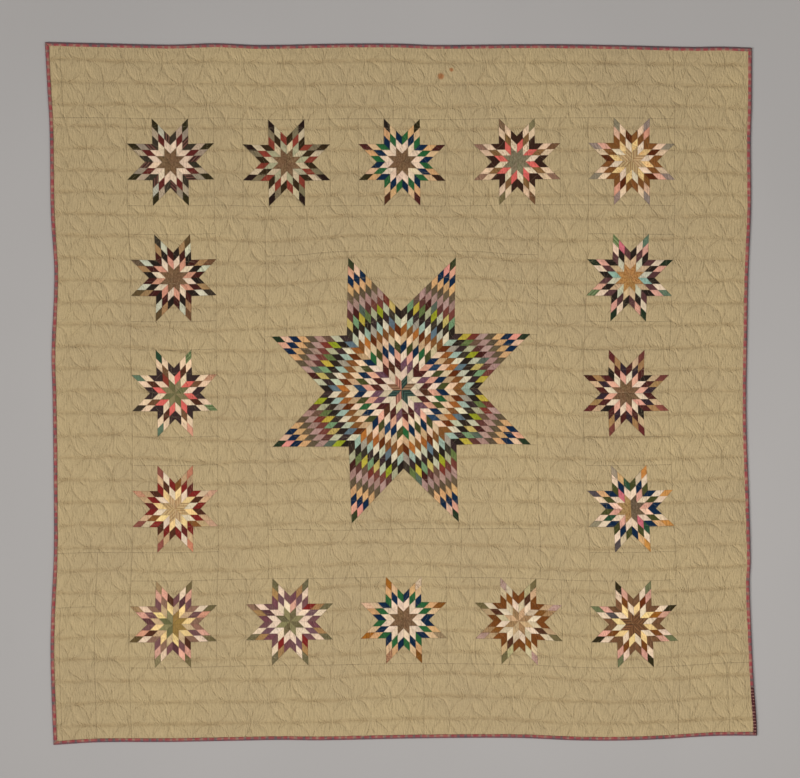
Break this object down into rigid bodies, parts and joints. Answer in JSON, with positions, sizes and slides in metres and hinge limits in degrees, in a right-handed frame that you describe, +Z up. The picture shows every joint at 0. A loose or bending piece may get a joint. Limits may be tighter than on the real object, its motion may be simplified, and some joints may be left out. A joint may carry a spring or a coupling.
{
  "type": "star quilt blanket",
  "caption": "Flat full-size quilt: a large pieced star in a ring of small pieced stars on a plain tan ground, quilted in lines and circles, with a narrow checked binding.",
  "frame": {"origin": "on the surface the quilt lies on, under the middle of its outline", "axes": "+Z up out of the patchwork face, +X to the right and +Y to the top edge as the face is seen from above"},
  "size_m": [2.136, 2.108, 0.0056],
  "materials": {
    "ground_cloth": "plain woven tan cotton, matte, washed and puckered",
    "patchwork": "many small cotton prints and plains, matte, softly faded",
    "back_cloth": "plain woven undyed cotton, matte",
    "plaid_binding": "woven cotton check in red, dark green and tan, matte",
    "maroon_binding": "cotton print of maroon dashes with pale gaps, matte"
  },
  "bodies": {
    "root": {"quilt_body": "ground_cloth", "binding_top": "plaid_binding", "binding_bottom": "plaid_binding", "binding_left": "plaid_binding", "binding_right": "plaid_binding", "binding_right_end": "maroon_binding"}
  },
  "joints": []
}
